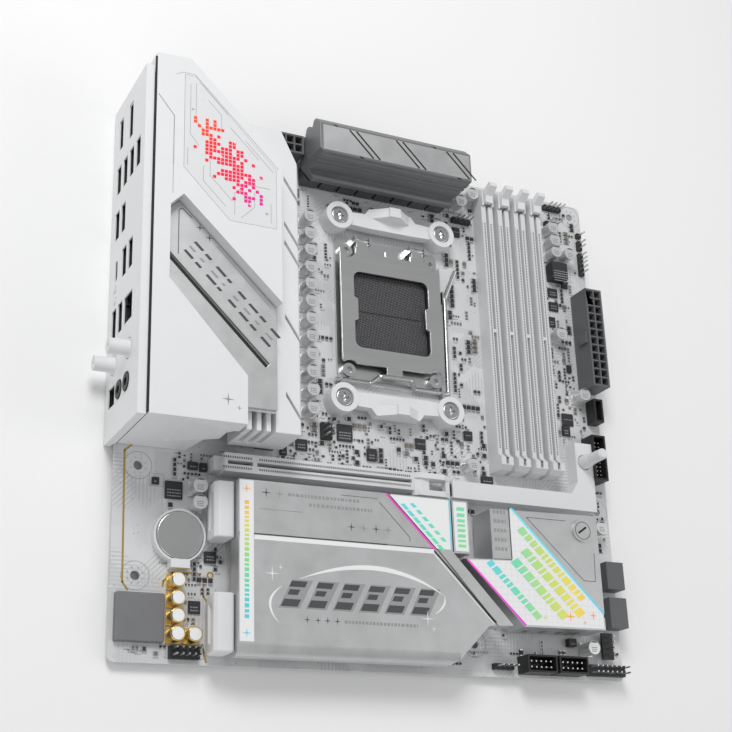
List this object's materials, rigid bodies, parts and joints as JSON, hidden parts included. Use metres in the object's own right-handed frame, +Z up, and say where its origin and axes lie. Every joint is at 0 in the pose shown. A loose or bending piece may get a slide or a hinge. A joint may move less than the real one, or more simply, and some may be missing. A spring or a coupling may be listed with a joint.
{
  "type": "computer motherboard",
  "caption": "White micro-ATX motherboard with a lever-locked processor socket, latched memory slots, graphics slot, drive covers, finned heatsinks and a shrouded rear port panel.",
  "frame": {"origin": "centre of the datum mounting hole, near the rear edge below the rear ports, at the board's underside", "axes": "+X from the rear connector edge to the front edge, +Y from the expansion edge to the processor edge, +Z up from the component side"},
  "size_m": [0.2559, 0.2508, 0.0458],
  "materials": {
    "pcb": "matt white solder mask",
    "steel": "bright plated steel",
    "white_plastic": "satin moulded",
    "white_metal": "satin paint",
    "silver_metal": "fine bead blasted",
    "gray_metal": "bead blasted, anodised",
    "gray_plastic": "satin moulded",
    "dark_plastic": "matt moulded",
    "gold": "plated",
    "window": "frosted",
    "chip": "matt epoxy",
    "thermal": "soft pad",
    "contact": "fine sprung contacts"
  },
  "bodies": {
    "board": {"antenna_sockets": "white_plastic", "atx_power_socket": "gray_plastic", "audio_capacitors": "gold", "audio_jacks": "dark_plastic", "audio_shield": "silver_metal", "battery": "steel", "battery_holder": "white_plastic", "bracket_screws": "steel", "capacitors": "silver_metal", "chips": "chip", "chipset_heatsink": "silver_metal", "connector_pins": "gold", "contact_field": "contact", "cooler_bracket_bottom": "white_plastic", "cooler_bracket_top": "white_plastic", "cover_screws": "steel", "cpu_backplate": "steel", "cpu_power_socket": "dark_plastic", "header_blocks": "dark_plastic", "io_shield": "white_metal", "io_shroud": "white_plastic", "lan_port": "dark_plastic", "light_board": "pcb", "m2_cover": "silver_metal", "m2_sockets": "dark_plastic", "memory_slot_1": "white_plastic", "memory_slot_2": "white_plastic", "memory_slot_3": "white_plastic", "memory_slot_4": "white_plastic", "optical_port": "dark_plastic", "pcb": "pcb", "pcie_slot": "white_plastic", "power_stages": "chip", "release_rail": "white_plastic", "sata_ports": "gray_plastic", "shroud_panel": "silver_metal", "shroud_window": "window", "socket_body": "dark_plastic", "socket_frame": "steel", "socket_screws": "steel", "thermal_pads": "thermal", "usb_ports": "steel", "usb_tongues": "dark_plastic", "video_ports": "steel", "vrm_chokes": "chip", "vrm_heatsink_side": "white_metal", "vrm_heatsink_top": "gray_metal"},
    "load_plate": {"load_plate": "steel"},
    "load_lever": {"load_lever": "steel"},
    "memory_latch_1": {"memory_latch_1": "white_plastic"},
    "memory_latch_2": {"memory_latch_2": "white_plastic"},
    "memory_latch_3": {"memory_latch_3": "white_plastic"},
    "memory_latch_4": {"memory_latch_4": "white_plastic"},
    "pcie_latch": {"pcie_latch": "white_plastic"},
    "release_slider": {"release_slider": "steel"},
    "release_button": {"release_button": "white_plastic"},
    "m2_latch_upper": {"m2_latch_upper": "white_plastic"},
    "m2_latch_lower": {"m2_latch_lower": "white_plastic"},
    "flash_button": {"flash_button": "white_plastic"},
    "reset_button": {"reset_button": "white_plastic"}
  },
  "joints": [
    {"name": "load_plate_hinge", "type": "hinge", "parent": "board", "child": "load_plate", "pos_m": [0.11804, 0.11843, 0.00667], "axis": [-1, 0, 0], "range_deg": [0, 100]},
    {"name": "load_lever_hinge", "type": "hinge", "parent": "board", "child": "load_lever", "pos_m": [0.11804, 0.04893, 0.00377], "axis": [1, 0, 0], "range_deg": [0, 105]},
    {"name": "memory_latch_1_tilt", "type": "hinge", "parent": "board", "child": "memory_latch_1", "pos_m": [0.17174, 0.15313, 0.00437], "axis": [-1, 0, 0], "range_deg": [0, 24]},
    {"name": "memory_latch_2_tilt", "type": "hinge", "parent": "board", "child": "memory_latch_2", "pos_m": [0.18114, 0.15313, 0.00437], "axis": [-1, 0, 0], "range_deg": [0, 24]},
    {"name": "memory_latch_3_tilt", "type": "hinge", "parent": "board", "child": "memory_latch_3", "pos_m": [0.19054, 0.15313, 0.00437], "axis": [-1, 0, 0], "range_deg": [0, 24]},
    {"name": "memory_latch_4_tilt", "type": "hinge", "parent": "board", "child": "memory_latch_4", "pos_m": [0.19994, 0.15313, 0.00437], "axis": [-1, 0, 0], "range_deg": [0, 24]},
    {"name": "pcie_latch_tilt", "type": "hinge", "parent": "board", "child": "pcie_latch", "pos_m": [0.12714, 0.00209, 0.00377], "axis": [0, 1, 0], "range_deg": [0, 10]},
    {"name": "release_slide", "type": "slide", "parent": "board", "child": "release_slider", "axis": [-1, 0, 0], "range_m": [0, 0.003]},
    {"name": "release_press", "type": "slide", "parent": "board", "child": "release_button", "axis": [0, 0, -1], "range_m": [0, 0.004], "stiffness_N_per_m": 150},
    {"name": "m2_latch_upper_tilt", "type": "hinge", "parent": "board", "child": "m2_latch_upper", "pos_m": [0.03284, -0.01876, 0.00217], "axis": [0, -1, 0], "range_deg": [0, 6], "stiffness_Nm_per_rad": 0.2},
    {"name": "m2_latch_lower_tilt", "type": "hinge", "parent": "board", "child": "m2_latch_lower", "pos_m": [0.03284, -0.06476, 0.00217], "axis": [0, -1, 0], "range_deg": [0, 6], "stiffness_Nm_per_rad": 0.2},
    {"name": "flash_press", "type": "slide", "parent": "board", "child": "flash_button", "axis": [1, 0, 0], "range_m": [0, 0.0005], "stiffness_N_per_m": 300},
    {"name": "reset_press", "type": "slide", "parent": "board", "child": "reset_button", "axis": [1, 0, 0], "range_m": [0, 0.0005], "stiffness_N_per_m": 300}
  ],
  "couplings": [
    {"joint": "pcie_latch_tilt", "follows": "release_press", "rad_per_m": 43.197},
    {"joint": "release_slide", "follows": "release_press", "ratio": 0.745}
  ]
}
